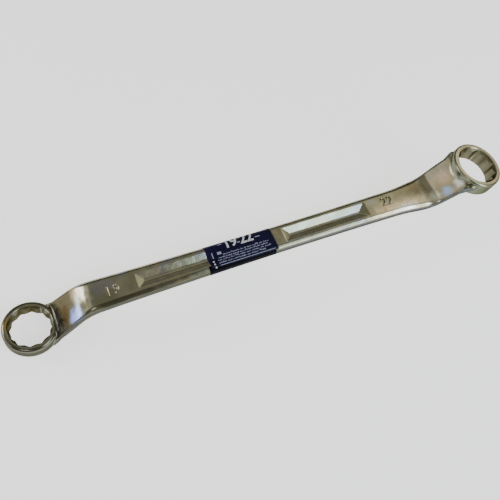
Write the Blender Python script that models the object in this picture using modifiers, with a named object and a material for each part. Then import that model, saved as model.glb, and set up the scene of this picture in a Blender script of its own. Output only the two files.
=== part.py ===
"""Cranked double ring spanner, 19 mm and 22 mm, with a printed film label round its shank.

The shank lies along X with its wide faces square to Z. Its middle plane is Z = 0, and the
origin is midway between the two socket centres. The 19 mm ring is at -X, below the shank, and
the 22 mm ring is at +X, above it: each ring's nut face looks away from the shank. All lengths
are in metres.
"""
import math
from collections import namedtuple

import bmesh
import bpy
from mathutils import Matrix, Vector

# Whole spanner
SOCKET_SPACING = 0.2734
RING_TILT = math.radians(7.2)
NECK_SLOPE = math.radians(45)

# 19 mm end
SOCKET_19 = 0.01915
RING_19_DIAMETER = 0.0280
RING_19_HEIGHT = 0.0092
RING_19_OFFSET = 0.0165
SOCKET_19_TURN = math.radians(12.6)
NECK_19_WIDTH = 0.0204
NECK_19_THICKNESS = 0.0048
NECK_19_STEP = 0.0018
NECK_19_LEAD = 0.0010
WEB_19_REACH = 0.0065

# 22 mm end
SOCKET_22 = 0.02215
RING_22_DIAMETER = 0.0322
RING_22_HEIGHT = 0.0108
RING_22_OFFSET = 0.0143
SOCKET_22_TURN = math.radians(-9.3)
NECK_22_WIDTH = 0.0240
NECK_22_THICKNESS = 0.0052
NECK_22_STEP = 0.0022
NECK_22_LEAD = 0.0120
WEB_22_REACH = 0.0090

# Both rings: edges, mouths of the sockets and the face left between a socket and its neck
NUT_EDGE_RADIUS = 0.0013
HANDLE_EDGE_RADIUS = 0.0022
NUT_MOUTH = 0.0005
HANDLE_MOUTH = 0.0003
ROOT_WALL = 0.0013

# Shank and necks
SHANK_THICKNESS = 0.0078
WAIST_WIDTH = 0.0155
SHANK_END_WIDTH = 0.0177
SIDE_RADIUS = 0.0034
BEND_RADIUS = 0.0160
NECK_SIDE_RADIUS = 0.0015
NECK_SINK = 0.0004

# Long recesses in both wide faces, one each side of a flat pad
RECESS_LENGTH = 0.0556
RECESS_WIDTH = 0.0092
RECESS_DEPTH = 0.00215
RECESS_FLOOR_WIDTH = 0.0007
RECESS_CORNER_RADIUS = 0.0008
PAD_LENGTH = 0.0305
PAD_CENTRE = -0.0080

# Film label wound once round the shank, its end lying over its start
LABEL_WIDTH = 0.0400
LABEL_CENTRE = -0.0188
LABEL_FILM = 0.00015
LABEL_GAP = 0.0003
LABEL_LAYER_GAP = 0.00015
LABEL_OVERLAP = 0.0055
LABEL_LAP_RAMP = 0.0007

# Cutters reach this far past the faces that they open
OVERRUN = 0.0030

# The shank reaches its full width at this share of the way to a socket's centre
SHANK_REACH_SHARE = 0.70
# A neck widens by this power of the way to its root, quicker at first than near the ring
WIDENING_POWER = 1.3
# The web beside a neck's root is widest at this share of the way from the root to the loft's
# end, where it stands out by that share of its reach
WEB_PLACE_SHARE = 0.43
WEB_GROWTH_SHARE = 0.22
# The loft ends inside the socket's hole, at this share of the socket's width from its axis
INNER_REACH_SHARE = 0.30
# A side's rounding takes at most this share of half the height there
SIDE_ROUNDING_SHARE = 0.92

# How finely curves are divided
CORNER_STEPS = 5
BEND_STEPS = 8
SHANK_STEPS = 8
NECK_STEPS = 3
RING_SEGMENTS = 64
EDGE_STEPS = 4
LABEL_STATIONS = 5
MERGE_DISTANCE = 0.00001

SOCKET_POINTS = 12
SOCKET_EDGE_STEPS = 3
SMOOTH_ANGLE = math.radians(32)

End = namedtuple("End", "name socket diameter height offset turn neck_width thickness step lead web flipped")
Station = namedtuple("Station", "low high half_width radius")

END_19 = End("19", SOCKET_19, RING_19_DIAMETER, RING_19_HEIGHT, RING_19_OFFSET, SOCKET_19_TURN,
             NECK_19_WIDTH, NECK_19_THICKNESS, NECK_19_STEP, NECK_19_LEAD, WEB_19_REACH, True)
END_22 = End("22", SOCKET_22, RING_22_DIAMETER, RING_22_HEIGHT, RING_22_OFFSET, SOCKET_22_TURN,
             NECK_22_WIDTH, NECK_22_THICKNESS, NECK_22_STEP, NECK_22_LEAD, WEB_22_REACH, False)


def clear_scene():
    for obj in list(bpy.data.objects):
        bpy.data.objects.remove(obj, do_unlink=True)


def new_collection(name):
    collection = bpy.data.collections.new(name)
    bpy.context.scene.collection.children.link(collection)
    return collection


def steel_material():
    material = bpy.data.materials.new("plated_steel")
    material.use_nodes = True
    shader = material.node_tree.nodes["Principled BSDF"]
    shader.inputs["Base Color"].default_value = (0.42, 0.39, 0.31, 1)
    shader.inputs["Metallic"].default_value = 1
    shader.inputs["Roughness"].default_value = 0.28
    return material


def film_material():
    material = bpy.data.materials.new("printed_film")
    material.use_nodes = True
    shader = material.node_tree.nodes["Principled BSDF"]
    shader.inputs["Base Color"].default_value = (0.006, 0.006, 0.045, 1)
    shader.inputs["Metallic"].default_value = 0
    shader.inputs["Roughness"].default_value = 0.35
    return material


def add_object(name, bm, collection):
    mesh = bpy.data.meshes.new(name)
    bm.to_mesh(mesh)
    bm.free()
    obj = bpy.data.objects.new(name, mesh)
    collection.objects.link(obj)
    return obj


def as_cutter(obj):
    obj.hide_render = True
    obj.display_type = "WIRE"
    return obj


def rounded_outline(half_width, half_height, radius):
    """Rounded rectangle as (across, up) pairs, anticlockwise from its lower right corner."""
    points = []
    for corner in range(4):
        start = math.radians(90) * (corner - 1)
        side_x = 1 if corner in (0, 1) else -1
        side_y = 1 if corner in (1, 2) else -1
        centre_x = side_x * (half_width - radius)
        centre_y = side_y * (half_height - radius)
        for step in range(CORNER_STEPS + 1):
            angle = start + math.radians(90) * step / CORNER_STEPS
            points.append((centre_x + radius * math.cos(angle), centre_y + radius * math.sin(angle)))
    return points


def loft(sections):
    """Closed mesh through rings of points that run along +X, each anticlockwise seen from +X."""
    bm = bmesh.new()
    rings = [[bm.verts.new(point) for point in section] for section in sections]
    count = len(rings[0])
    for first, second in zip(rings, rings[1:]):
        for index in range(count):
            after = (index + 1) % count
            bm.faces.new((first[index], first[after], second[after], second[index]))
    bm.faces.new(list(reversed(rings[0])))
    bm.faces.new(rings[-1])
    bmesh.ops.recalc_face_normals(bm, faces=bm.faces)
    return bm


def half_shank_width(x):
    """Half of the shank's width, narrowest at the waist and growing to both bends."""
    reach = SOCKET_SPACING / 2
    growth = (SHANK_END_WIDTH - WAIST_WIDTH) / 2
    return WAIST_WIDTH / 2 + growth * min(abs(x) / reach / SHANK_REACH_SHARE, 1) ** 2


def ring_place(end):
    """From a ring's own frame, nut face at +Z and the shank at -X, to a ring above the shank."""
    centre = Vector((SOCKET_SPACING / 2, 0, end.offset))
    return Matrix.Translation(centre) @ Matrix.Rotation(RING_TILT, 4, "Y")


def end_frame(end):
    """From a ring's own frame to the spanner's frame."""
    if end.flipped:
        return Matrix.Rotation(math.pi, 4, "Y") @ ring_place(end)
    return ring_place(end)


def root_reach(end):
    """Distance from the socket's axis to the line where the neck meets the handle-side face."""
    return corner_reach(end) + ROOT_WALL


def neck_line(end):
    """Root point on the handle-side face, and a point on the neck's middle line beside it."""
    root = ring_place(end) @ Vector((-root_reach(end), 0, -end.height / 2))
    upward = Vector((-math.sin(NECK_SLOPE), 0, math.cos(NECK_SLOPE)))
    return root, root + upward * (end.thickness / 2)


def bend_corner(end):
    """Point where the neck's middle line meets the shank's middle line."""
    _, middle = neck_line(end)
    return middle - Vector((middle.z / math.tan(NECK_SLOPE), 0, middle.z))


def bend_start(end):
    return bend_corner(end).x - BEND_RADIUS * math.tan(NECK_SLOPE / 2)


def bend_length():
    return BEND_RADIUS * NECK_SLOPE


def neck_length(end):
    """Length of the neck's straight middle line, from the bend to beside the root."""
    _, middle = neck_line(end)
    return (middle - bend_corner(end)).length - BEND_RADIUS * math.tan(NECK_SLOPE / 2)


def arm_half_width(x, travel, end):
    """Half the width at a distance past the bend's start, or before it where that is negative."""
    shank_width = half_shank_width(min(x, bend_start(end)))
    whole = bend_length() + neck_length(end) + end.lead
    share = min(max(travel + end.lead, 0) / whole, 1)
    growth = 1 - (1 - share) ** WIDENING_POWER
    return shank_width + (end.neck_width / 2 - shank_width) * growth


def slab(centre, up, thickness, half_width, radius):
    half = up * (thickness / 2)
    return Station(centre - half, centre + half, half_width, radius)


def end_stations(end):
    """Stations from the shank's end through the bend and the neck into the ring."""
    place = ring_place(end)
    root, _ = neck_line(end)
    start = bend_start(end)
    pivot = Vector((start, 0, BEND_RADIUS))
    stations = []
    for step in range(BEND_STEPS + 1):
        share = step / BEND_STEPS
        angle = NECK_SLOPE * share
        up = Vector((-math.sin(angle), 0, math.cos(angle)))
        thickness = SHANK_THICKNESS + (end.thickness - SHANK_THICKNESS) * share
        width = arm_half_width(start, bend_length() * share, end)
        radius = SIDE_RADIUS + (NECK_SIDE_RADIUS - SIDE_RADIUS) * share
        stations.append(slab(pivot - up * BEND_RADIUS, up, thickness, width, radius))
    bent = stations[-1]
    wall = place @ Vector((-end.diameter / 2, 0, end.height / 2 - end.step))
    low_end = root + (root - bent.low).normalized() * NECK_SINK
    high_end = wall + (wall - bent.high).normalized() * NECK_SINK
    for step in range(1, NECK_STEPS + 1):
        share = step / NECK_STEPS
        width = arm_half_width(start, bend_length() + neck_length(end) * share, end)
        stations.append(Station(bent.low.lerp(low_end, share), bent.high.lerp(high_end, share),
                                width, NECK_SIDE_RADIUS))
    stations.append(web_station(end))
    inside = INNER_REACH_SHARE * end.socket
    low = place @ Vector((-inside, 0, -end.height / 2 + end.step))
    high = place @ Vector((-inside, 0, end.height / 2 - end.step))
    stations.append(Station(low, high, inner_half_width(end), NECK_SIDE_RADIUS))
    return stations


def web_station(end):
    """Widest station, where the neck's sides run out into the ring's outline through a web."""
    inward = (root_reach(end) - INNER_REACH_SHARE * end.socket) * WEB_PLACE_SHARE
    across = root_reach(end) - inward
    rise = inward * math.tan(NECK_SLOPE + RING_TILT)
    low = ring_place(end) @ Vector((-across, 0, -end.height / 2 + rise))
    high = ring_place(end) @ Vector((-across, 0, end.height / 2 - end.step))
    half_width = end.neck_width / 2 + WEB_GROWTH_SHARE * end.web
    return Station(low, high, half_width, NECK_SIDE_RADIUS)


def inner_half_width(end):
    """Half width of the loft's last station, which stays within the ring's wall."""
    inside = INNER_REACH_SHARE * end.socket
    middle_of_wall = (end.diameter / 2 + corner_reach(end)) / 2
    return math.sqrt(middle_of_wall ** 2 - inside ** 2)


def flip(point):
    return Vector((-point.x, point.y, -point.z))


def section_points(station):
    middle = (station.low + station.high) / 2
    up = (station.high - station.low).normalized()
    half_height = (station.high - station.low).length / 2
    radius = min(station.radius, half_height * SIDE_ROUNDING_SHARE)
    outline = rounded_outline(station.half_width, half_height, radius)
    return [middle + up * height + Vector((0, across, 0)) for across, height in outline]


def shank_stations():
    first = -bend_start(END_19)
    last = bend_start(END_22)
    stations = []
    for step in range(1, 2 * SHANK_STEPS):
        x = first + (last - first) * step / (2 * SHANK_STEPS)
        end = END_22 if x > 0 else END_19
        width = arm_half_width(abs(x), abs(x) - bend_start(end), end)
        middle = Vector((x, 0, 0))
        stations.append(slab(middle, Vector((0, 0, 1)), SHANK_THICKNESS, width, SIDE_RADIUS))
    return stations


def forging_body(collection):
    """Shank and both necks as one loft, from inside one ring to inside the other."""
    far_end = [Station(flip(s.high), flip(s.low), s.half_width, s.radius) for s in end_stations(END_19)]
    stations = list(reversed(far_end)) + shank_stations() + end_stations(END_22)
    return add_object("spanner_forging", loft([section_points(s) for s in stations]), collection)


def ring_blank(end, collection):
    """Solid disc of the ring's outline with rounded edges, turned about its axis."""
    radius = end.diameter / 2
    half = end.height / 2
    profile = [Vector((0, 0, half))]
    for side, edge in ((1, NUT_EDGE_RADIUS), (-1, HANDLE_EDGE_RADIUS)):
        for step in range(EDGE_STEPS + 1):
            angle = math.radians(90) * step / EDGE_STEPS
            if side == 1:
                angle = math.radians(90) - angle
            x = radius - edge + edge * math.cos(angle)
            z = side * (half - edge + edge * math.sin(angle))
            profile.append(Vector((x, 0, z)))
    profile.append(Vector((0, 0, -half)))
    bm = bmesh.new()
    verts = [bm.verts.new(point) for point in profile]
    for first, second in zip(verts, verts[1:]):
        bm.edges.new((first, second))
    ring = as_cutter(add_object("ring_blank_" + end.name, bm, collection))
    turn = ring.modifiers.new("turn", "SCREW")
    turn.steps = RING_SEGMENTS
    turn.render_steps = RING_SEGMENTS
    turn.use_merge_vertices = True
    turn.merge_threshold = MERGE_DISTANCE
    ring.matrix_world = end_frame(end)
    return ring


def corner_reach(end):
    """Distance from the socket's axis to the corners of the nut that it takes."""
    return end.socket / math.sqrt(3)


def socket_outline(end):
    """Twelve-point hole, two hexagons turned by 30 degrees, with each edge divided."""
    notch_reach = end.socket / 2 / math.cos(math.pi / SOCKET_POINTS)
    tips = []
    for step in range(2 * SOCKET_POINTS + 1):
        angle = math.pi / SOCKET_POINTS * step + end.turn
        reach = corner_reach(end) if step % 2 == 0 else notch_reach
        tips.append(Vector((reach * math.cos(angle), reach * math.sin(angle), 0)))
    points = []
    for first, second in zip(tips, tips[1:]):
        points += [first.lerp(second, step / SOCKET_EDGE_STEPS) for step in range(SOCKET_EDGE_STEPS)]
    return points


def socket_cutter(end, collection):
    """Twelve-point hole with a cone at 45 degrees in each mouth, as one closed cutter."""
    outline = socket_outline(end)
    sections = []
    for side, growth in ((-1, HANDLE_MOUTH), (1, NUT_MOUTH)):
        mouth = corner_reach(end) + growth
        face = side * end.height / 2
        outside = Vector((0, 0, face + side * OVERRUN))
        outer = [point.normalized() * (mouth + OVERRUN) + outside for point in outline]
        inner = [point + Vector((0, 0, face - side * (mouth - point.length))) for point in outline]
        sections += [outer, inner] if side < 0 else [inner, outer]
    cutter = as_cutter(add_object("socket_cutter_" + end.name, loft(sections), collection))
    cutter.matrix_world = end_frame(end)
    return cutter


def recess_cutter(name, centre, side, collection):
    """Long trough with sloping walls and hipped ends, opened in one wide face."""
    slope = (RECESS_WIDTH - RECESS_FLOOR_WIDTH) / 2 / RECESS_DEPTH
    half_floor = RECESS_FLOOR_WIDTH / 2
    half_length = (RECESS_LENGTH - RECESS_WIDTH + RECESS_FLOOR_WIDTH) / 2
    grown = slope * OVERRUN
    face = SHANK_THICKNESS / 2
    levels = (
        (face - RECESS_DEPTH, half_length, half_floor, half_floor),
        (face, RECESS_LENGTH / 2, RECESS_WIDTH / 2, RECESS_CORNER_RADIUS),
        (face + OVERRUN, RECESS_LENGTH / 2 + grown, RECESS_WIDTH / 2 + grown,
         RECESS_CORNER_RADIUS + grown),
    )
    sections = []
    for height, length, width, radius in levels:
        outline = rounded_outline(length, width, radius)
        sections.append([Vector((centre + x, y, height)) for x, y in outline])
    cutter = as_cutter(add_object(name, loft(sections), collection))
    if side < 0:
        cutter.matrix_world = Matrix.Rotation(math.pi, 4, "X")
    return cutter


def add_boolean(obj, operation, operand):
    modifier = obj.modifiers.new(operand.name, "BOOLEAN")
    modifier.operation = operation
    modifier.solver = "EXACT"
    modifier.object = operand


def build_forging(parts, cutters):
    forging = forging_body(parts)
    for end in (END_19, END_22):
        add_boolean(forging, "UNION", ring_blank(end, cutters))
    for end in (END_19, END_22):
        add_boolean(forging, "DIFFERENCE", socket_cutter(end, cutters))
    reach = (PAD_LENGTH + RECESS_LENGTH) / 2
    for label, centre in (("19", PAD_CENTRE - reach), ("22", PAD_CENTRE + reach)):
        for face, side in (("upper", 1), ("lower", -1)):
            name = "recess_cutter_" + label + "_" + face
            add_boolean(forging, "DIFFERENCE", recess_cutter(name, centre, side, cutters))
    forging.data.shade_smooth()
    forging.data.set_sharp_from_angle(angle=SMOOTH_ANGLE)
    forging.data.materials.append(steel_material())
    return forging


def label_turn(x):
    """Once round the shank at x, from the seam in its lower face to the lap over the seam."""
    half_width = half_shank_width(x) + LABEL_GAP
    half_height = SHANK_THICKNESS / 2 + LABEL_GAP
    lap_height = half_height + LABEL_FILM + LABEL_LAYER_GAP
    seam = -LABEL_OVERLAP / 2
    turn = [(seam, -half_height)]
    turn += rounded_outline(half_width, half_height, SIDE_RADIUS + LABEL_GAP)
    turn.append((seam - 2 * LABEL_LAP_RAMP, -half_height))
    turn.append((seam - LABEL_LAP_RAMP, -lap_height))
    turn.append((seam + LABEL_OVERLAP, -lap_height))
    return [Vector((x, across, height)) for across, height in turn]


def build_label(parts):
    """Open sheet wound round the shank and thickened to the film."""
    bm = bmesh.new()
    rows = []
    for station in range(LABEL_STATIONS):
        x = LABEL_CENTRE + LABEL_WIDTH * (station / (LABEL_STATIONS - 1) - 0.5)
        rows.append([bm.verts.new(point) for point in label_turn(x)])
    for first, second in zip(rows, rows[1:]):
        for index in range(len(first) - 1):
            bm.faces.new((first[index], first[index + 1], second[index + 1], second[index]))
    label = add_object("label_wrap", bm, parts)
    film = label.modifiers.new("film", "SOLIDIFY")
    film.thickness = LABEL_FILM
    film.offset = 1
    label.data.shade_smooth()
    label.data.materials.append(film_material())
    return label


def main():
    clear_scene()
    parts = new_collection("ring_spanner")
    cutters = new_collection("cutters")
    frame = bpy.data.objects.new("spanner_frame", None)
    parts.objects.link(frame)
    for piece in (build_forging(parts, cutters), build_label(parts)):
        piece.parent = frame


main()
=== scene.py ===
"""Looks of a cranked double ring spanner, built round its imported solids.

X runs along the shank from the 19 mm ring to the 22 mm ring, Y across the wide faces and Z
square to them. All lengths are in metres. The steel is one smooth skin settled on a distance
function, pressed in at its recesses and stamped sizes, then cut by both sockets. The label is a
film wound round it, with print laid on it as thin meshes.
"""
import math
import random
from collections import namedtuple

import bmesh
import bpy
import numpy as np
from mathutils import Matrix, Vector


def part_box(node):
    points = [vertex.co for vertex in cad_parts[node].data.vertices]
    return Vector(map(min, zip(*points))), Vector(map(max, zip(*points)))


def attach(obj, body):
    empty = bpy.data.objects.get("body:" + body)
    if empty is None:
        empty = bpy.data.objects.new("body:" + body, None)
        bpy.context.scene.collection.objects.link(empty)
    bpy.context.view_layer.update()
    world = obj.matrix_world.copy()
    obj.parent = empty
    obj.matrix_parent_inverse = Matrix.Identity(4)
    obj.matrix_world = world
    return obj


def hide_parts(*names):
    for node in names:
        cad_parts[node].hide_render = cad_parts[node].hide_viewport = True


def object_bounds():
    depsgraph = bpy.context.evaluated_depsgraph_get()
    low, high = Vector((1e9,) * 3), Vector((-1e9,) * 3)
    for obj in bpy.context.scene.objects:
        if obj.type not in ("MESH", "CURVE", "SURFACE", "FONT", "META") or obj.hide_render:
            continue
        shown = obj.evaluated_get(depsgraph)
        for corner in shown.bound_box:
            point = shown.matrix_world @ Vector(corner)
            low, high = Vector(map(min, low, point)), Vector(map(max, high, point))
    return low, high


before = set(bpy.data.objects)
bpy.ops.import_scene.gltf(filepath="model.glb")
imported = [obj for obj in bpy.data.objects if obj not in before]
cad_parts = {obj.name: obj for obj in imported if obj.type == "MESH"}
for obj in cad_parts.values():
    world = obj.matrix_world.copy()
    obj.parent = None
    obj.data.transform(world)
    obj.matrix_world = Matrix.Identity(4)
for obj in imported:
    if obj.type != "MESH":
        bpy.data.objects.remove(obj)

cad_low, cad_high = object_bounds()

MM = 0.001

# Whole spanner, as in the solids
SOCKET_SPACING = 273.4 * MM
RING_TILT = math.radians(7.2)
NECK_SLOPE = math.radians(45)

# Rings and sockets
HANDLE_EDGE_RADIUS = 2.2 * MM
NUT_EDGE_RADIUS = 1.3 * MM
NUT_MOUTH = 0.5 * MM
HANDLE_MOUTH = 0.3 * MM
ROOT_WALL = 1.3 * MM
SOCKET_POINTS = 12
SOCKET_EDGE_STEPS = 6
SOCKET_OVERRUN = 3.0 * MM
INNER_REACH_SHARE = 0.30

# Shank and necks
SHANK_THICKNESS = 7.8 * MM
WAIST_WIDTH = 15.5 * MM
SHANK_END_WIDTH = 17.7 * MM
SHANK_REACH_SHARE = 0.70
SIDE_RADIUS = 3.4 * MM
BEND_RADIUS = 16.0 * MM
NECK_SIDE_RADIUS_SHARE = 0.30
WIDENING_POWER = 1.3
WIDENING_ROUNDING_SHARE = 0.2
WEB_SINK = 1.0 * MM
FILLET = 1.2 * MM
STEP_ROUNDING = 1.6 * MM
SHANK_CROWN = 0.22 * MM
NECK_CROWN = 0.35 * MM
CROWN_START = 50.0 * MM
CROWN_RUN = 35.0 * MM

# Recesses
RECESS_LENGTH = 55.6 * MM
RECESS_WIDTH = 9.2 * MM
RECESS_DEPTH = 2.15 * MM
RECESS_FLOOR_WIDTH = 0.7 * MM
RECESS_RIM_ROUNDING = 0.28 * MM
RECESS_VALLEY_ROUNDING = 0.35 * MM
PAD_LENGTH = 30.5 * MM
PAD_CENTRE = -8.0 * MM

# Skin mesh
SKIN_CELL = 0.5 * MM
SKIN_MARGIN = 1.1 * MM
GRADIENT_STEP = 0.01 * MM
LEAST_SLOPE = 0.1
SETTLE_ROUNDS = 5
RELAX_ROUNDS = 4
SHARP_ANGLE = math.radians(30)
MERGE_DISTANCE = 0.001 * MM
SHORTEST_EDGE = 1e-6 * MM

# Stamped sizes
STAMP_HEIGHT = 5.2 * MM
STAMP_BOLD = 0.10 * MM
STAMP_DEPTH = 0.26 * MM
STAMP_WALL = 0.34 * MM
STAMP_LIP = 0.05 * MM
STAMP_LIP_WIDTH = 0.16 * MM
STAMP_REFINE_ROUNDS = 2
STAMP_19_CENTRE = (-92.2 * MM, -0.9 * MM)
STAMP_22_CENTRE = (77.9 * MM, 1.3 * MM)
STAMP_SPREAD_SHARE = 1.15
# Height of a numeral as a share of its font's size
NUMERAL_SHARE = 0.70

# Label film, which dips into a recess by a share of its depth, and by more at the film's end
LABEL_WIDTH = 40.0 * MM
LABEL_CENTRE = -18.8 * MM
LABEL_FILM = 0.10 * MM
LABEL_GAP = 0.04 * MM
LABEL_SAG_SHARE = 0.05
LABEL_END_SAG_SHARE = 0.85
LABEL_END_SAG_LENGTH = 4.5 * MM
LABEL_CELL = 0.8 * MM
# Round the shank from its upper middle line: the film's end, its lap over its start, its climb
# onto the start, and the end of the start's dark part
LABEL_END = 7.7 * MM
LABEL_LAP = 3.0 * MM
LABEL_RAMP = 0.5 * MM
LABEL_DARK_END = 20.0 * MM
LABEL_SKEW = 1.7 * MM

# Print on the label, in places along the shank and round it from its upper middle line
PRINT_LIFT = 0.012 * MM
PRINT_CELL = 0.5 * MM
PRINT_CUT_ROUNDS = 3
PRINT_SEED = 19
PRINT_NUMERAL_HEIGHT = 5.9 * MM
PRINT_NUMERAL_BOLD = 0.16 * MM
PRINT_NUMERAL_FOOT = 2.4 * MM
PRINT_NUMERAL_SPREAD_SHARE = 0.94
PRINT_19_CENTRE = -24.2 * MM
PRINT_22_CENTRE = -14.6 * MM
# Small marks and the line below them in millimetres: left and right end, foot and height
PRINT_MARKS = ((-20.3, -18.6, 3.6, 0.7), (-9.6, -6.6, 3.6, 0.6), (-31.6, -29.2, 5.6, 0.45),
               (-33.4, -31.0, 0.2, 1.6), (-36.4, -35.9, -1.0, 3.4), (-33.9, -0.8, -6.2, 0.3))
# Rows of small print in millimetres: middle, left and right end
PRINT_ROWS = ((-0.3, -30.4, -2.8), (-1.7, -33.6, -3.8), (-3.1, -34.3, -2.4), (-4.6, -34.2, -6.0))
PRINT_ROW_HEIGHT = 0.75 * MM
# Blocks of a row: how many make a word, widths and gaps in millimetres, and the heights and feet
# that they choose from as shares of the row's height
PRINT_WORD_BLOCKS = (3, 8)
PRINT_BLOCK_WIDTHS = (0.28, 0.55)
PRINT_BLOCK_GAPS = (0.10, 0.2)
PRINT_WORD_GAPS = (0.35, 0.6)
PRINT_HEIGHT_SHARES = (0.55, 0.7, 1.0)
PRINT_FOOT_SHARES = (-0.5, -0.5, -0.2)
# Middles of the dots in millimetres
PRINT_DOTS = ((-36.8, -2.9), (-36.7, -4.6), (-36.5, -6.5))
PRINT_DOT_RADIUS = 0.55 * MM
PRINT_DOT_SIDES = 12

# Spots of painted highlight, reflection and shade on the steel in millimetres: centre, reach,
# strength and colour
PAINTED_LIGHT_SPOTS = (
    ((-117.5, -2.0, -7.5), (6.5, 11.0, 8.0), 0.9, (0.09, 0.060, 0.025)),
    ((-112.0, -6.2, -2.5), (7.0, 6.5, 8.0), 1.0, (0.34, 0.40, 0.70)),
    ((-106.5, -3.6, 2.0), (5.5, 4.5, 5.5), 0.9, (0.17, 0.165, 0.10)),
    ((-146.0, 4.0, -11.5), (4.5, 6.0, 5.0), 0.9, (0.80, 0.58, 0.16)),
    ((116.1, 0.8, 12.1), (8.0, 8.0, 8.0), 0.8, (0.68, 0.52, 0.34)),
    ((114.9, -7.2, 10.8), (4.2, 5.0, 4.8), 1.0, (0.46, 0.62, 1.0)),
    ((120.9, -6.4, 16.8), (4.4, 4.8, 5.2), 1.0, (1.0, 1.0, 0.92)),
    ((126.0, -11.5, 17.5), (6.5, 5.0, 8.0), 1.0, (0.06, 0.066, 0.03)),
    ((100.5, 3.0, 3.9), (8.5, 8.5, 4.5), 1.0, (0.12, 0.11, 0.075)),
    ((108.6, -6.3, 5.0), (5.0, 4.8, 5.0), 1.0, (1.0, 1.0, 0.80)),
    ((-110.5, 5.5, -0.5), (4.5, 6.0, 5.5), 0.8, (0.42, 0.29, 0.19)),
    ((84.0, -6.5, 3.5), (28.0, 8.5, 7.0), 1.0, (0.95, 0.76, 0.50)),
    ((88.5, -6.6, 3.5), (12.0, 5.0, 5.0), 1.0, (0.98, 0.95, 0.88)),
    ((97.0, 5.0, 3.9), (16.0, 9.0, 6.0), 0.7, (0.24, 0.20, 0.125)),
    ((8.6, 0.0, 3.0), (2.6, 6.0, 3.0), 1.0, (0.80, 0.77, 0.52)),
)
# Size of the wander of their outlines, then its width and their fading as shares of their reach
SPOT_WANDER_SIZE = 3.0 * MM
SPOT_WANDER_SHARE = 0.8
SPOT_FADE_SHARES = (1.0, 0.1)

# Plate: colours of its clouds, then the casts over them by size, shift, span of noise and colour
PLATE_MEAN_COLOUR = (0.42, 0.40, 0.30)
PLATE_MEAN_ROUGHNESS = 0.20
PLATE_EDGE_TINT = (0.30, 0.30, 0.27)
PLATE_COLOURS = ((0.32, 0.31, 0.205), (0.45, 0.435, 0.315))
PLATE_CLOUD_SIZE = 12.0 * MM
PLATE_CLOUD_SPAN = (0.35, 0.65)
PLATE_CASTS = (
    (9.0 * MM, (0.3, 0.1, 0.2), (0.50, 0.72), (0.37, 0.36, 0.42)),
    (7.0 * MM, (0.7, 0.4, 0.1), (0.55, 0.75), (0.52, 0.41, 0.25)),
)
PLATE_CAST_STRENGTH = 0.6
PLATE_ROUGHNESS_SIZE = 5.0 * MM
PLATE_ROUGHNESS = (0.15, 0.25)
FLANK_ROUGHNESS = 0.10
GRIME_ROUGHNESS = 0.15
# Relief of the plate: size and height of its features
PLATE_WAVES = (11.0 * MM, 0.25 * MM)
GRINDING_MARKS = (0.35 * MM, 0.006 * MM)
GRINDING_STRETCH = (0.08, 1, 1)
PLATE_PITS = (0.9 * MM, 0.012 * MM)

# Places on the steel with a tone laid over the plate: painted shade, highlight and sheen, grime with
# painted shade in the sockets, and worn edges; colour, and how strongly it covers the plate
# Painted shade on the neck of the 19 end
NECK_19_SHADE_COLOUR = (0.12, 0.105, 0.066)
# Painted shade round the rim of the 19 ring
RIM_19_SHADE_COLOUR = (0.11, 0.106, 0.078)
RIM_19_SHADE_STRENGTH = 0.8
# Painted highlight on the far walls of the recesses
FAR_WALL_HIGHLIGHT_COLOUR = (0.98, 0.92, 0.68)
# Painted warm sheen on the nut face of the 22 ring
NUT_FACE_22_SHEEN_COLOUR = (0.64, 0.58, 0.40)
# Painted shade on the sides
LEFT_SIDE_SHADE_COLOURS = ((0.070, 0.071, 0.058), (0.15, 0.153, 0.130))
RIGHT_SIDE_SHADE_COLOUR = (0.12, 0.13, 0.128)
RING_19_SIDE_SHADE_COLOUR = (0.17, 0.17, 0.14)
RING_22_SIDE_SHADE_COLOUR = (0.17, 0.175, 0.125)
# Grime with painted shade on the socket walls
GRIME_AND_SHADE_19_COLOUR = (0.11, 0.10, 0.06)
GRIME_AND_SHADE_22_COLOUR = (0.13, 0.12, 0.068)
STAMP_SHADE_COLOUR = (0.09, 0.07, 0.04)
# Painted shade in hollows and creases
HOLLOW_SHADE_COLOUR = (0.05, 0.045, 0.028)
HOLLOW_SHADE_STRENGTH = 0.85
WORN_COLOUR = (0.60, 0.58, 0.50)
WORN_STRENGTH = 0.5

# Spans over which these tones set in, from none at the first value to all at the second: places,
# distances from a socket's axis, depths, parts of the normal, or pointiness, below 0.5 in hollows
NECK_19_TOP = (-109.0 * MM, -113.0 * MM)
NECK_19_ROOT = (-125.5 * MM, -124.5 * MM)
NEAR_RING_19 = (15.0 * MM, 14.4 * MM)
NEAR_RING_22 = (17.4 * MM, 16.6 * MM)
RIM_19 = (11.6 * MM, 12.6 * MM)
ACROSS_RECESS = (4.7 * MM, 4.4 * MM)
ALONG_RECESSES = (84.0 * MM, 80.0 * MM)
FAR_WALL_NORMAL = (0.1, 0.4)
NUT_FACE_NORMAL = (0.90, 0.98)
FLANK_NORMAL = (0.72, 0.42)
LEFT_SIDE_NORMAL = (0.40, 0.10)
RIGHT_SIDE_START = (-20.0 * MM, 20.0 * MM)
STAMP_SHADE_DEPTHS = (0.03 * MM, 0.14 * MM)
STAMP_SHADE_REACH = (7.0 * MM, 5.0 * MM, 3.0 * MM)
HOLLOW_POINTINESS = (0.47, 0.40)
WORN_POINTINESS = (0.54, 0.62)
# Bands of painted shade along the near edge's rounding, one each side of the label: colour, spans of
# the normal's Y where they set in and end, and spans along X with their strengths
NEAR_EDGE = (-4.8 * MM, -5.4 * MM)
SHADE_BANDS = (
    ((0.10, 0.095, 0.072), ((-0.12, -0.30), (-0.66, -0.52)), (((75.0 * MM, 25.0 * MM), 0.8),)),
    ((0.11, 0.10, 0.06), ((-0.12, -0.55), (-0.92, -0.78)),
     (((-52.0 * MM, -78.0 * MM), 0.75), ((-102.0 * MM, -97.0 * MM), 1.0))),
)
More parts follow.
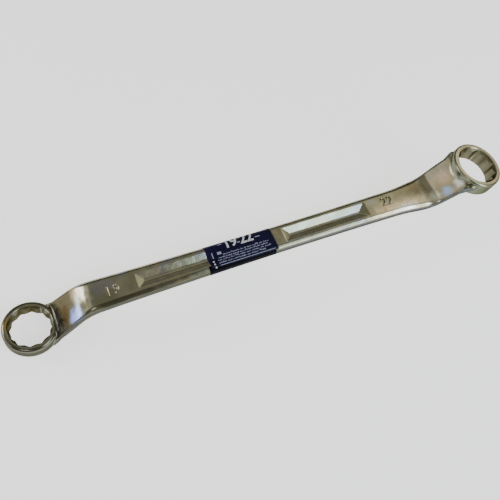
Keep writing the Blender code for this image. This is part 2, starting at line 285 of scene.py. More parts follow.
# Grime with painted shade on a socket's walls: how far past its corners it starts and is full, and
# its patches
GRIME_AND_SHADE_EDGE = (0.25 * MM, -0.10 * MM)
GRIME_AND_SHADE_SIZE = 3.0 * MM
GRIME_AND_SHADE_SPAN = (0.2, 0.6)
GRIME_AND_SHADE_STRENGTHS = (0.7, 1.0)

# Films: colour, roughness and gloss, then their patches and creases
NAVY_FILM = ((0.005, 0.004, 0.038), 0.40, 0.20)
BLACK_FILM = ((0.002, 0.002, 0.006), 0.60, 0.06)
FILM_PATCH_SIZE = 6.0 * MM
FILM_DARKER_SHARE = 0.6
FILM_DULL_SIZE = 2.0 * MM
FILM_DULL_SPREAD = (-0.06, 0.08)
FILM_CREASES = (3.0 * MM, 0.08 * MM)
FILM_CREASE_STRETCH = (0.35, 1, 1)

# Inks
WHITE_INK = (0.85, 0.85, 0.88)
PALE_INK = (0.40, 0.42, 0.60)
INK_ROUGHNESS = 0.5
INK_PATCH_SIZE = 0.5 * MM
INK_PATCH_SPAN = (0.35, 0.6)
INK_THIN_SHARE = 0.7

# Layers of detail in a noise, and the span of its values that most finishes use
SMOOTH_NOISE = 2.0
EVEN_NOISE = 3.0
FINE_NOISE = 4.0
FINEST_NOISE = 5.0
NOISE_SPAN = (0.3, 0.7)

# Pale floor, which gives off some light by itself, as a light table does
FLOOR_GLOW = 1.2
FLOOR_HALF_WIDTH = 2.0
FLOOR_COLOURS = ((0.86, 0.86, 0.86), (0.90, 0.90, 0.90))
FLOOR_ROUGHNESS = 0.8
FLOOR_PATCH_SIZE = 0.2

# Dark card behind the spanner
FLAG_WIDTH = 2.4
FLAG_HEIGHT = 0.45
FLAG_DISTANCE = 0.7
FLAG_COLOURS = ((0.04, 0.04, 0.034), (0.07, 0.07, 0.06))
FLAG_ROUGHNESS = 0.9
FLAG_PATCH_SIZE = 0.1

# Soft boxes: name, angles in degrees from straight up towards +X and +Y, width and length,
# radiance and colour
PANELS = (
    ("key_blue", 27, -30, (0.42, 0.36), 4.4, (0.66, 0.84, 1.0)),
    ("key_white", 34, -56, (0.32, 0.58), 3.0, (0.92, 0.98, 1.0)),
    ("right_warm", 47, 19, (0.38, 0.40), 0.48, (1.0, 0.93, 0.74)),
    ("right_soft", 44, 18, (0.60, 0.66), 0.20, (1.0, 0.93, 0.78)),
    ("left_warm", -62, 33, (0.20, 0.36), 6.5, (1.0, 0.97, 0.90)),
    ("left_halo", -53, 25, (0.46, 0.60), 0.55, (1.0, 0.92, 0.84)),
    ("left_blue", -81, 20, (0.30, 0.14), 6.0, (0.70, 0.80, 1.0)),
    ("left_low", -71, -12, (0.20, 0.20), 4.0, (0.70, 0.80, 1.0)),
    ("left_patch", -27, -33, (0.20, 0.20), 6.0, (1.0, 0.98, 0.90)),
)
PANEL_DISTANCE = 0.9
SKY_COLOUR = (0.30, 0.30, 0.26)

# Photograph's camera
CAMERA_PLACE = Vector((-96.99, -99.42, 257.37)) * MM
CAMERA_RIGHT = Vector((0.91302, -0.37936, 0.14992))
CAMERA_UP = Vector((0.28810, 0.85991, 0.42137))
CAMERA_LENS = 36.68
CAMERA_SENSOR = 36.0
CAMERA_CLIP = 10.0 * MM

End = namedtuple("End", "socket diameter height offset turn neck_width neck_thickness step lead web")
END_19 = End(socket=19.15 * MM, diameter=28.0 * MM, height=9.2 * MM, offset=16.5 * MM,
             turn=math.radians(12.6), neck_width=20.4 * MM, neck_thickness=4.8 * MM, step=1.8 * MM,
             lead=1.0 * MM, web=6.5 * MM)
END_22 = End(socket=22.15 * MM, diameter=32.2 * MM, height=10.8 * MM, offset=14.3 * MM,
             turn=math.radians(-9.3), neck_width=24.0 * MM, neck_thickness=5.2 * MM, step=2.2 * MM,
             lead=12.0 * MM, web=9.0 * MM)


def corner_reach(end):
    return end.socket / math.sqrt(3)


def ring_coordinates(x, z, end):
    """Turns spanner coordinates into those of a ring above the shank, nut face at +Z."""
    across = x - SOCKET_SPACING / 2
    up = z - end.offset
    cos, sin = math.cos(RING_TILT), math.sin(RING_TILT)
    return across * cos - up * sin, across * sin + up * cos


def end_frame(end):
    """From a ring's own frame to the spanner's frame."""
    centre = Vector((SOCKET_SPACING / 2, 0, end.offset))
    place = Matrix.Translation(centre) @ Matrix.Rotation(RING_TILT, 4, "Y")
    if end is END_19:
        return Matrix.Rotation(math.pi, 4, "Y") @ place
    return place


def bend_start(end):
    """Where the shank starts to bend: the neck's middle line leads back to it from its root."""
    reach = corner_reach(end) + ROOT_WALL
    cos, sin = math.cos(RING_TILT), math.sin(RING_TILT)
    root_x = SOCKET_SPACING / 2 - reach * cos - end.height / 2 * sin
    root_z = end.offset + reach * sin - end.height / 2 * cos
    middle_x = root_x - math.sin(NECK_SLOPE) * end.neck_thickness / 2
    middle_z = root_z + math.cos(NECK_SLOPE) * end.neck_thickness / 2
    corner = middle_x - middle_z / math.tan(NECK_SLOPE)
    return corner - BEND_RADIUS * math.tan(NECK_SLOPE / 2), middle_x, middle_z


def half_shank_width(x):
    growth = (SHANK_END_WIDTH - WAIST_WIDTH) / 2
    share = np.minimum(np.abs(x) / (SOCKET_SPACING / 2) / SHANK_REACH_SHARE, 1)
    return WAIST_WIDTH / 2 + growth * share ** 2


def rounded_box(across, up, half_width, half_height, radius):
    """Signed distance to a rounded rectangle."""
    over_x = np.abs(across) - half_width + radius
    over_y = np.abs(up) - half_height + radius
    outside = np.hypot(np.maximum(over_x, 0), np.maximum(over_y, 0))
    return outside + np.minimum(np.maximum(over_x, over_y), 0) - radius


def blend_min(first, second, reach):
    """The smaller of two values, with a fillet of about that reach where they cross."""
    share = np.clip(0.5 + 0.5 * (second - first) / reach, 0, 1)
    return second + (first - second) * share - reach * share * (1 - share)


def blend_max(first, second, reach):
    return -blend_min(-first, -second, reach)


def ease(share):
    """Smooth step from 0 to 1."""
    share = np.clip(share, 0, 1)
    return share * share * (3 - 2 * share)


def arm_half_width(travel, total, x, ring_x, end):
    """Half the width of the shank and neck, which widens towards the ring and ends in a web."""
    shank_width = half_shank_width(x)
    share = blend_max((travel + end.lead) / (total + end.lead), 0, WIDENING_ROUNDING_SHARE)
    growth = 1 - (1 - np.minimum(share, 1)) ** WIDENING_POWER
    width = shank_width + (end.neck_width / 2 - shank_width) * growth
    chord = np.sqrt(np.maximum((end.diameter / 2) ** 2 - ring_x ** 2, 0))
    web = blend_max(width, chord, end.web)
    crossing = math.sqrt((end.diameter / 2) ** 2 - (end.neck_width / 2) ** 2)
    inward = ease((ring_x + crossing) / (crossing - INNER_REACH_SHARE * end.socket))
    return web + (chord - WEB_SINK - web) * inward


def arm_distance(x, y, z, end):
    """Signed distance to half of the shank, its bend and its neck, for a ring above the shank."""
    start, middle_x, middle_z = bend_start(end)
    angle = np.clip(np.arctan2(x - start, BEND_RADIUS - z), 0, NECK_SLOPE)
    point_x = start + BEND_RADIUS * np.sin(angle)
    point_z = BEND_RADIUS * (1 - np.cos(angle))
    along = (x - point_x) * np.cos(angle) + (z - point_z) * np.sin(angle)
    up = (z - point_z) * np.cos(angle) - (x - point_x) * np.sin(angle)
    bend_length = BEND_RADIUS * NECK_SLOPE
    end_x = start + BEND_RADIUS * math.sin(NECK_SLOPE)
    end_z = BEND_RADIUS * (1 - math.cos(NECK_SLOPE))
    total = bend_length + math.hypot(middle_x - end_x, middle_z - end_z)
    travel = BEND_RADIUS * angle + along
    ring_x, ring_z = ring_coordinates(x, z, end)
    width = arm_half_width(travel, total, np.minimum(x, start), ring_x, end)
    bent = ease(travel / bend_length)
    crown = SHANK_CROWN * ease((x - CROWN_START) / CROWN_RUN) + (NECK_CROWN - SHANK_CROWN) * bent
    thickness = (SHANK_THICKNESS + (end.neck_thickness - SHANK_THICKNESS) * bent) / 2
    thickness = thickness - crown * (y / width) ** 2
    neck_radius = NECK_SIDE_RADIUS_SHARE * end.neck_thickness
    radius = SIDE_RADIUS + (neck_radius - SIDE_RADIUS) * bent
    arm = rounded_box(y, up, width, thickness, radius)
    arm = blend_max(arm, ring_z - end.height / 2 + end.step, STEP_ROUNDING)
    return np.maximum(arm, ring_x + INNER_REACH_SHARE * end.socket)


def half_distance(x, y, z, end):
    ring_x, ring_z = ring_coordinates(x, z, end)
    radius = np.where(ring_z < 0, HANDLE_EDGE_RADIUS, NUT_EDGE_RADIUS)
    ring = rounded_box(np.hypot(ring_x, y), ring_z, end.diameter / 2, end.height / 2, radius)
    return blend_min(arm_distance(x, y, z, end), ring, FILLET)


def steel_distance(points):
    """Signed distance to the forging without its recesses, sockets and stamps."""
    x, y, z = points[:, 0], points[:, 1], points[:, 2]
    upper = x >= 0
    distance = np.empty(len(points))
    distance[upper] = half_distance(x[upper], y[upper], z[upper], END_22)
    distance[~upper] = half_distance(-x[~upper], y[~upper], -z[~upper], END_19)
    return distance


def fill_checkers(inside):
    """Fills the grid's faces that have only diagonal corners inside, so that no quads cross."""
    found = True
    while found:
        found = False
        for axis in range(3):
            faces = np.moveaxis(inside, axis, 0)
            corners = (faces[:, :-1, :-1], faces[:, 1:, 1:], faces[:, 1:, :-1], faces[:, :-1, 1:])
            first, opposite, second, third = corners
            checker = (first == opposite) & (second == third) & (first != second)
            found = found or checker.any()
            for corner in corners:
                corner |= checker


def surface_net(distance, low, high, cell):
    """Quads round a zero surface, with one vertex in each grid cell that it crosses."""
    axes = [np.arange(low[i], high[i] + cell, cell) for i in range(3)]
    grid = np.stack(np.meshgrid(*axes, indexing="ij"), axis=-1)
    shape = grid.shape[:3]
    inside = distance(grid.reshape(-1, 3)).reshape(shape) < 0
    fill_checkers(inside)
    count = np.zeros([size - 1 for size in shape], int)
    for i, j, k in np.ndindex(2, 2, 2):
        count += inside[i:shape[0] - 1 + i, j:shape[1] - 1 + j, k:shape[2] - 1 + k]
    crossed = (count > 0) & (count < 8)
    index = np.full(crossed.shape, -1)
    index[crossed] = np.arange(crossed.sum())
    points = grid[:-1, :-1, :-1][crossed] + cell / 2
    quads = []
    for axis in range(3):
        first, second = np.eye(3, dtype=int)[(axis + 1) % 3], np.eye(3, dtype=int)[(axis + 2) % 3]
        near = np.moveaxis(inside, axis, 0)[:-1]
        far = np.moveaxis(inside, axis, 0)[1:]
        for outward in (True, False):
            change = (near & ~far) if outward else (~near & far)
            nodes = np.argwhere(np.moveaxis(change, 0, axis))
            ring = [nodes - first - second, nodes - second, nodes, nodes - first]
            quad = np.stack([index[tuple(corner.T)] for corner in ring], axis=1)
            quads.append(quad if outward else quad[:, ::-1])
    return points, np.concatenate(quads)


def settle(points, distance):
    """Moves points onto the zero surface along its gradient."""
    for _ in range(SETTLE_ROUNDS):
        value = distance(points)
        gradient = np.empty_like(points)
        for axis in range(3):
            shift = np.zeros(3)
            shift[axis] = GRADIENT_STEP
            gradient[:, axis] = distance(points + shift) - distance(points - shift)
        gradient /= 2 * GRADIENT_STEP
        slope = np.maximum((gradient ** 2).sum(axis=1), LEAST_SLOPE)
        points = points - gradient * (value / slope)[:, None]
    return points


def relax(points, quads, distance):
    """Evens the quads out by averaging each point with its neighbours, then settles them."""
    edges = np.concatenate([quads[:, [i, (i + 1) % 4]] for i in range(4)])
    neighbours = np.bincount(edges[:, 0], minlength=len(points))
    for _ in range(RELAX_ROUNDS):
        total = np.stack([np.bincount(edges[:, 0], points[edges[:, 1], axis], len(points))
                          for axis in range(3)], axis=1)
        points = settle((points + total / neighbours[:, None]) / 2, distance)
    return points


def recess_centres():
    reach = (PAD_LENGTH + RECESS_LENGTH) / 2
    return PAD_CENTRE - reach, PAD_CENTRE + reach


def recess_depth(x, y):
    """Depth of the long V-shaped recesses below a wide face."""
    slope = RECESS_DEPTH / ((RECESS_WIDTH - RECESS_FLOOR_WIDTH) / 2)
    depth = np.zeros_like(x)
    for centre in recess_centres():
        wall = (RECESS_WIDTH / 2 - np.abs(y)) * slope
        hip = (RECESS_LENGTH / 2 - np.abs(x - centre)) * slope
        cut = blend_min(wall, hip, RECESS_RIM_ROUNDING)
        cut = blend_min(cut, np.full_like(x, RECESS_DEPTH), RECESS_VALLEY_ROUNDING)
        depth = np.maximum(depth, blend_max(cut, np.zeros_like(x), RECESS_RIM_ROUNDING))
    return depth


def mesh_points(mesh):
    points = np.empty(len(mesh.vertices) * 3)
    mesh.vertices.foreach_get("co", points)
    return points.reshape(-1, 3)


def add_object(name, data):
    obj = bpy.data.objects.new(name, data)
    bpy.context.scene.collection.objects.link(obj)
    return obj


def add_mesh_object(name, bm):
    mesh = bpy.data.meshes.new(name)
    bm.to_mesh(mesh)
    bm.free()
    return add_object(name, mesh)


def refine(mesh, wanted):
    """Halves the quads whose middles are wanted."""
    bm = bmesh.new()
    bm.from_mesh(mesh)
    middles = np.array([face.calc_center_median() for face in bm.faces])
    near = [face for face, chosen in zip(bm.faces, wanted(middles)) if chosen]
    edges = list({edge for face in near for edge in face.edges})
    bmesh.ops.subdivide_edges(bm, edges=edges, cuts=1, use_grid_fill=True)
    bm.to_mesh(mesh)
    bm.free()


def near_recess(points):
    """Which points of the skin lie in or beside a recess."""
    y, z = np.abs(points[:, 1:]).T
    along = np.min([np.abs(points[:, 0] - centre) for centre in recess_centres()], axis=0)
    beyond = np.maximum(along - RECESS_LENGTH / 2, y - RECESS_WIDTH / 2)
    return np.maximum(beyond, np.abs(z - SHANK_THICKNESS / 2)) < SKIN_CELL


def near_stamp(points):
    """Which points of the skin lie in or beside a stamped size."""
    near = np.zeros(len(points), bool)
    for centre in (STAMP_19_CENTRE, STAMP_22_CENTRE):
        across, up = np.abs(points[:, :2] - centre).T
        near |= (across < STAMP_HEIGHT) & (up < STAMP_HEIGHT / 2 + SKIN_CELL)
    return near & (points[:, 2] > SHANK_THICKNESS / 2 - SKIN_CELL)


def outline_of(bm):
    """Border edges of a flat mesh, as pairs of points in XY."""
    border = [edge for edge in bm.edges if len(edge.link_faces) == 1]
    return np.array([[vert.co.xy for vert in edge.verts] for edge in border])


def depth_inside(points, outline):
    """Distance of points to an outline, positive inside it and negative outside."""
    first, run = outline[:, 0], outline[:, 1] - outline[:, 0]
    from_first = points[:, None] - first[None]
    squared = np.maximum((run ** 2).sum(axis=1), SHORTEST_EDGE ** 2)
    share = np.clip((from_first * run).sum(axis=2) / squared, 0, 1)
    distance = np.linalg.norm(from_first - share[..., None] * run, axis=2).min(axis=1)
    height = points[:, 1][:, None]
    crosses = (outline[:, 0, 1] > height) != (outline[:, 1, 1] > height)
    rise = np.where(run[:, 1] == 0, 1, run[:, 1])
    cross_x = first[:, 0] + (height - first[:, 1]) * run[:, 0] / rise
    inside = (crosses & (points[:, 0][:, None] < cross_x)).sum(axis=1) % 2 == 1
    return np.where(inside, distance, -distance)


def stamp_depth(points, text, centre):
    """Depth of a stamped number: grooves with sloping walls inside a raised lip."""
    bm = numeral_mesh(text, STAMP_HEIGHT, STAMP_BOLD, STAMP_SPREAD_SHARE)
    inside = depth_inside(points[:, :2] - centre, outline_of(bm))
    bm.free()
    groove = np.clip(inside / STAMP_WALL, 0, 1)
    lip = np.exp(-((inside + STAMP_LIP_WIDTH) / STAMP_LIP_WIDTH) ** 2) * (inside < 0)
    return STAMP_DEPTH * ease(groove) - STAMP_LIP * lip


def steel_skin():
    """Smooth closed skin of the forging with its recesses and stamped sizes."""
    low, high = (np.array(corner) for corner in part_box("spanner_forging"))
    points, quads = surface_net(steel_distance, low - SKIN_MARGIN, high + SKIN_MARGIN, SKIN_CELL)
    points = relax(settle(points, steel_distance), quads, steel_distance)
    mesh = bpy.data.meshes.new("steel_skin")
    mesh.from_pydata(points.tolist(), [], quads.tolist())
    refine(mesh, near_recess)
    for _ in range(STAMP_REFINE_ROUNDS):
        refine(mesh, near_stamp)
    points = settle(mesh_points(mesh), steel_distance)
    wide_face = np.abs(points[:, 2]) > SHANK_THICKNESS / 2 - RECESS_RIM_ROUNDING
    side = np.sign(points[:, 2]) * wide_face
    points[:, 2] -= side * recess_depth(points[:, 0], points[:, 1])
    stamped = near_stamp(points)
    for text, centre in (("19", STAMP_19_CENTRE), ("22", STAMP_22_CENTRE)):
        points[stamped, 2] -= stamp_depth(points[stamped], text, centre)
    mesh.vertices.foreach_set("co", points.ravel())
    mesh.update()
    return add_object("steel_skin", mesh)


def loft(sections):
    """Closed mesh through rings of points."""
    bm = bmesh.new()
    rings = [[bm.verts.new(point) for point in section] for section in sections]
    for first, second in zip(rings, rings[1:]):
        for index in range(len(first)):
            after = (index + 1) % len(first)
            bm.faces.new((first[index], first[after], second[after], second[index]))
    bm.faces.new(list(reversed(rings[0])))
    bm.faces.new(rings[-1])
    bmesh.ops.recalc_face_normals(bm, faces=bm.faces)
    return bm


def socket_outline(end):
    """Twelve-point hole, two hexagons turned by 30 degrees, with each edge divided."""
    notch_reach = end.socket / 2 / math.cos(math.pi / SOCKET_POINTS)
    tips = []
    for step in range(2 * SOCKET_POINTS + 1):
        angle = math.pi / SOCKET_POINTS * step + end.turn
        reach = corner_reach(end) if step % 2 == 0 else notch_reach
        tips.append(Vector((reach * math.cos(angle), reach * math.sin(angle), 0)))
    points = []
    for first, second in zip(tips, tips[1:]):
        points += [first.lerp(second, step / SOCKET_EDGE_STEPS) for step in range(SOCKET_EDGE_STEPS)]
    return points


def socket_cutter(end):
    """Twelve-point hole with a cone at 45 degrees in each mouth."""
    outline = socket_outline(end)
    sections = []
    for side, growth in ((-1, HANDLE_MOUTH), (1, NUT_MOUTH)):
        mouth = corner_reach(end) + growth
        face = side * end.height / 2
        outside = Vector((0, 0, face + side * SOCKET_OVERRUN))
        outer = [point.normalized() * (mouth + SOCKET_OVERRUN) + outside for point in outline]
        inner = [point + Vector((0, 0, face - side * (mouth - point.length))) for point in outline]
        sections += [outer, inner] if side < 0 else [inner, outer]
    bm = loft(sections)
    bm.transform(end_frame(end))
    return bm


def evaluated_mesh(obj):
    """Mesh of an object after its modifiers. The object is removed."""
    bpy.context.view_layer.update()
    graph = bpy.context.evaluated_depsgraph_get()
    mesh = bpy.data.meshes.new_from_object(obj.evaluated_get(graph))
    bpy.data.objects.remove(obj)
    return mesh


def numeral_mesh(text, height, bold, spread_share):
    """Numerals as a flat mesh in XY, centred on their middle."""
    curve = bpy.data.curves.new("numerals", "FONT")
    curve.body = text
    curve.size = height / NUMERAL_SHARE
    curve.offset = bold
    curve.space_character = spread_share
    curve.align_x = "CENTER"
    bm = bmesh.new()
    bm.from_mesh(evaluated_mesh(add_object("numerals", curve)))
    bmesh.ops.remove_doubles(bm, verts=bm.verts, dist=MERGE_DISTANCE)
    places = [vert.co.y for vert in bm.verts]
    middle = (min(places) + max(places)) / 2
    bmesh.ops.translate(bm, verts=bm.verts, vec=(0, -middle, 0))
    return bm


def pour(part, whole):
    """Adds one mesh to another."""
    mesh = bpy.data.meshes.new("part")
    part.to_mesh(mesh)
    part.free()
    whole.from_mesh(mesh)


def joined_cutter():
    """Both socket cutters as one object."""
    whole = bmesh.new()
    for end in (END_19, END_22):
        pour(socket_cutter(end), whole)
    return add_mesh_object("cuts", whole)


def build_forging(material):
    forging = steel_skin()
    cutter = joined_cutter()
    cut = forging.modifiers.new("cuts", "BOOLEAN")
    cut.operation = "DIFFERENCE"
    cut.solver = "EXACT"
    cut.object = cutter
    mesh = evaluated_mesh(forging)
    bpy.data.objects.remove(cutter)
    mesh.materials.clear()
    mesh.materials.append(material)
    mesh.shade_smooth()
    mesh.set_sharp_from_angle(angle=SHARP_ANGLE)
    obj = add_object("plated_forging", mesh)
    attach(obj, "root")
    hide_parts("spanner_forging")


def film_turn():
    """Length once round the shank under the label's middle."""
    half_width = float(half_shank_width(LABEL_CENTRE)) + LABEL_GAP
    half_height = SHANK_THICKNESS / 2 + LABEL_GAP
    radius = SIDE_RADIUS + LABEL_GAP
    return 4 * (half_width + half_height - 2 * radius + radius * math.pi / 2)


def film_point(x, travel, lift):
    """Point on the film: travel runs round the shank from its upper middle line towards -Y."""
    half_width = float(half_shank_width(x)) + lift
    half_height = SHANK_THICKNESS / 2 + lift
    radius = SIDE_RADIUS + lift
    flat = half_width - radius
    side = half_height - radius
    arc = radius * math.pi / 2
    turn = 4 * (flat + side + arc)
    travel = travel % turn
    mirrored = travel > turn / 2
    if mirrored:
        travel = turn - travel
    if travel < flat:
        across, up = travel, half_height
    elif travel < flat + arc:
        angle = (travel - flat) / radius
        across, up = flat + radius * math.sin(angle), side + radius * math.cos(angle)
    elif travel < flat + arc + 2 * side:
        across, up = half_width, side - (travel - flat - arc)
    elif travel < flat + 2 * arc + 2 * side:
        angle = (travel - flat - arc - 2 * side) / radius
        across, up = flat + radius * math.cos(angle), -side - radius * math.sin(angle)
    else:
        across, up = flat - (travel - flat - 2 * arc - 2 * side), -half_height
    point = Vector((x, across if mirrored else -across, up))
    return sagged(point)


def sagged(point):
    """Lets the film dip a little where it spans a recess, and well into it at its own end."""
    if abs(point.z) < SHANK_THICKNESS / 2 or abs(point.y) > RECESS_WIDTH / 2:
        return point
    depth = float(recess_depth(np.array([point.x]), np.array([point.y]))[0])
    from_end = point.x - (LABEL_CENTRE - LABEL_WIDTH / 2)
    near_end = 1 - float(ease(from_end / LABEL_END_SAG_LENGTH))
    share = LABEL_SAG_SHARE + (LABEL_END_SAG_SHARE - LABEL_SAG_SHARE) * near_end
    return point - Vector((0, 0, math.copysign(share * depth, point.z)))


def build_label(film, dark_film):
    """Film wound once round the shank, its outer end lapped over its skewed start."""
    turn = film_turn()
    start = LABEL_END - LABEL_LAP
    length = turn + LABEL_LAP
    rows = round(length / LABEL_CELL)
    columns = round(LABEL_WIDTH / LABEL_CELL)
    bm = bmesh.new()
    grid = []
    for row in range(rows + 1):
        travel = start + length * row / rows
        over = float(ease((travel - start - turn + LABEL_RAMP) / LABEL_RAMP))
        lift = LABEL_GAP + (LABEL_FILM + LABEL_GAP) * over
        skew = LABEL_SKEW * (1 - row / rows)
        line = []
        for column in range(columns + 1):
            x = LABEL_CENTRE + LABEL_WIDTH * (column / columns - 0.5) - skew
            line.append(bm.verts.new(film_point(x, travel, lift)))
        grid.append(line)
    for row, (first, second) in enumerate(zip(grid, grid[1:])):
        dark = start + length * row / rows < LABEL_DARK_END
        for index in range(columns):
            face = bm.faces.new((first[index], second[index], second[index + 1], first[index + 1]))
            face.material_index = int(dark)
    obj = add_mesh_object("size_label", bm)
    thicken = obj.modifiers.new("film", "SOLIDIFY")
    thicken.thickness = LABEL_FILM
    thicken.offset = 1
    obj.data.shade_smooth()
    obj.data.materials.append(film)
    obj.data.materials.append(dark_film)
    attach(obj, "root")
    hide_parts("label_wrap")


def add_bar(bm, left, right, foot, height):
    """Upright rectangle of print, divided so that it can bend round the film."""
    steps = max(1, round((right - left) / PRINT_CELL))
    rows = max(1, round(height / PRINT_CELL))
    grid = [[bm.verts.new((left + (right - left) * i / steps, foot + height * j / rows, 0))
             for j in range(rows + 1)] for i in range(steps + 1)]
    for i in range(steps):
        for j in range(rows):
            bm.faces.new((grid[i][j], grid[i + 1][j], grid[i + 1][j + 1], grid[i][j + 1]))


def add_dot(bm, x, y):
    """Round spot of print, made of two rings round its middle so that it can bend."""
    middle = bm.verts.new((x, y, 0))
    turns = [2 * math.pi * step / PRINT_DOT_SIDES for step in range(PRINT_DOT_SIDES)]
    inner, outer = [[bm.verts.new((x + radius * math.cos(turn), y + radius * math.sin(turn), 0))
                     for turn in turns] for radius in (PRINT_DOT_RADIUS / 2, PRINT_DOT_RADIUS)]
    for index in range(PRINT_DOT_SIDES):
        after = (index + 1) % PRINT_DOT_SIDES
        bm.faces.new((middle, inner[index], inner[after]))
        bm.faces.new((inner[index], outer[index], outer[after], inner[after]))


def add_numerals(bm, text, x):
    """Bold numerals standing on a line, cut fine enough to bend round the film."""
    piece = numeral_mesh(text, PRINT_NUMERAL_HEIGHT, PRINT_NUMERAL_BOLD,
                         PRINT_NUMERAL_SPREAD_SHARE)
    for _ in range(PRINT_CUT_ROUNDS):
        long_edges = [edge for edge in piece.edges if edge.calc_length() > PRINT_CELL]
        bmesh.ops.subdivide_edges(piece, edges=long_edges, cuts=1)
    bmesh.ops.triangulate(piece, faces=piece.faces)
    lowest = min(vert.co.y for vert in piece.verts)
    bmesh.ops.translate(piece, verts=piece.verts, vec=(x, PRINT_NUMERAL_FOOT - lowest, 0))
    pour(piece, bm)


def add_greeked_row(bm, draw, y, left, right):
    """Unreadable small print: runs of tiny blocks with gaps between them, like words."""
    x = left
    while x < right:
        for _ in range(draw.randint(*PRINT_WORD_BLOCKS)):
            width = draw.uniform(*PRINT_BLOCK_WIDTHS) * MM
            height = PRINT_ROW_HEIGHT * draw.choice(PRINT_HEIGHT_SHARES)
            foot = y + PRINT_ROW_HEIGHT * draw.choice(PRINT_FOOT_SHARES)
            if x + width > right:
                return
            add_bar(bm, x, x + width, foot, height)
            x += width + draw.uniform(*PRINT_BLOCK_GAPS) * MM
        x += draw.uniform(*PRINT_WORD_GAPS) * MM


def finish_print(name, bm, material):
    """Bends flat print round the film and makes it a piece."""
    for vert in bm.verts:
        vert.co = film_point(vert.co.x, -vert.co.y, 2 * LABEL_GAP + 2 * LABEL_FILM + PRINT_LIFT)
    obj = add_mesh_object(name, bm)
    obj.data.materials.append(material)
    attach(obj, "root")


def build_print(ink, pale_ink):
    """The two sizes, and rows of tiny blocks in place of the small words."""
    draw = random.Random(PRINT_SEED)
    bold = bmesh.new()
    add_numerals(bold, "19", PRINT_19_CENTRE)
    add_numerals(bold, "22", PRINT_22_CENTRE)
    for x, y in PRINT_DOTS:
        add_dot(bold, x * MM, y * MM)
    finish_print("label_numerals", bold, ink)
    small = bmesh.new()
    for y, left, right in PRINT_ROWS:
        add_greeked_row(small, draw, y * MM, left * MM, right * MM)
    for left, right, foot, height in PRINT_MARKS:
        add_bar(small, left * MM, right * MM, foot * MM, height * MM)
    finish_print("label_small_print", small, pale_ink)


def new_material(name, colour, roughness, metallic=0.0):
    material = bpy.data.materials.new(name)
    material.use_nodes = True
    shader = material.node_tree.nodes["Principled BSDF"]
    shader.inputs["Base Color"].default_value = (*colour, 1)
    shader.inputs["Roughness"].default_value = roughness
    shader.inputs["Metallic"].default_value = metallic
    return material, shader


class Graph:
    """Short ways to add and link a material's nodes."""

    def __init__(self, material):
        self.nodes = material.node_tree.nodes
        self.links = material.node_tree.links
        self.coordinates = self.nodes.new("ShaderNodeTexCoord")

    def put(self, value, socket):
        if isinstance(value, bpy.types.NodeSocket):
            self.links.new(value, socket)
        else:
            socket.default_value = value

    def place(self, shift=(0, 0, 0), stretch=(1, 1, 1), turn=(0, 0, 0), kind="POINT"):
        """Object coordinates, moved, or with TEXTURE as seen from a frame of their own."""
        node = self.nodes.new("ShaderNodeMapping")
        node.vector_type = kind
        node.inputs["Location"].default_value = shift
        node.inputs["Scale"].default_value = stretch
        node.inputs["Rotation"].default_value = turn
        self.links.new(self.coordinates.outputs["Object"], node.inputs["Vector"])
        return node.outputs["Vector"]

    def split(self, vector):
        node = self.nodes.new("ShaderNodeSeparateXYZ")
        self.links.new(vector, node.inputs["Vector"])
        return node.outputs

    def spot(self, centre, reach):
        """Soft mask of 1 round a point, gone at about the reach along each axis."""
        node = self.nodes.new("ShaderNodeVectorMath")
        node.operation = "LENGTH"
        self.links.new(self.place(centre, reach, kind="TEXTURE"), node.inputs[0])
        wander = self.math("MULTIPLY_ADD", self.noise(SPOT_WANDER_SIZE, SMOOTH_NOISE),
                           SPOT_WANDER_SHARE, -SPOT_WANDER_SHARE / 2)
        return self.fade(self.math("ADD", node.outputs["Value"], wander), SPOT_FADE_SHARES)

    def noise(self, size, detail, vector=None):
        """Noise between 0 and 1 with features of about that size."""
        node = self.nodes.new("ShaderNodeTexNoise")
        node.inputs["Scale"].default_value = 1 / size
        node.inputs["Detail"].default_value = detail
        self.links.new(vector or self.coordinates.outputs["Object"], node.inputs["Vector"])
        return node.outputs["Fac"]

    def fade(self, value, span, result=(0.0, 1.0)):
        """Smooth change between two results while a value runs over a span."""
        node = self.nodes.new("ShaderNodeMapRange")
        node.interpolation_type = "SMOOTHSTEP"
        self.links.new(value, node.inputs["Value"])
        for name, number in zip(("From Min", "From Max", "To Min", "To Max"), (*span, *result)):
            node.inputs[name].default_value = number
        return node.outputs["Result"]

    def math(self, operation, first, second=0.0, third=0.0):
        node = self.nodes.new("ShaderNodeMath")
        node.operation = operation
        for value, socket in zip((first, second, third), node.inputs):
            self.put(value, socket)
        return node.outputs["Value"]

    def product(self, mask, *others):
        """Product of a mask with other masks and strengths."""
        for other in others:
            mask = self.math("MULTIPLY", mask, other)
        return mask

    def mix(self, share, first, second):
        """Blend of two colours."""
        node = self.nodes.new("ShaderNodeMix")
        node.data_type = "RGBA"
        self.put(share, node.inputs["Factor"])
        for value, socket in ((first, node.inputs["A"]), (second, node.inputs["B"])):
            self.put((*value, 1) if isinstance(value, tuple) else value, socket)
        return node.outputs["Result"]

    def bump(self, features, detail, vector=None, under=None):
        """Relief of noise, from the size and height of its features."""
        size, height = features
        node = self.nodes.new("ShaderNodeBump")
        node.inputs["Distance"].default_value = height
        self.links.new(self.noise(size, detail, vector), node.inputs["Height"])
        if under is not None:
            self.links.new(under, node.inputs["Normal"])
        return node.outputs["Normal"]


def plate_tone(graph):
    """Clouded plate with casts over it."""
    cloud = graph.fade(graph.noise(PLATE_CLOUD_SIZE, FINE_NOISE), PLATE_CLOUD_SPAN)
    tone = graph.mix(cloud, *PLATE_COLOURS)
    for size, shift, span, colour in PLATE_CASTS:
        patches = graph.noise(size, SMOOTH_NOISE, graph.place(shift))
        tone = graph.mix(graph.fade(patches, span, (0, PLATE_CAST_STRENGTH)), tone, colour)
    return tone


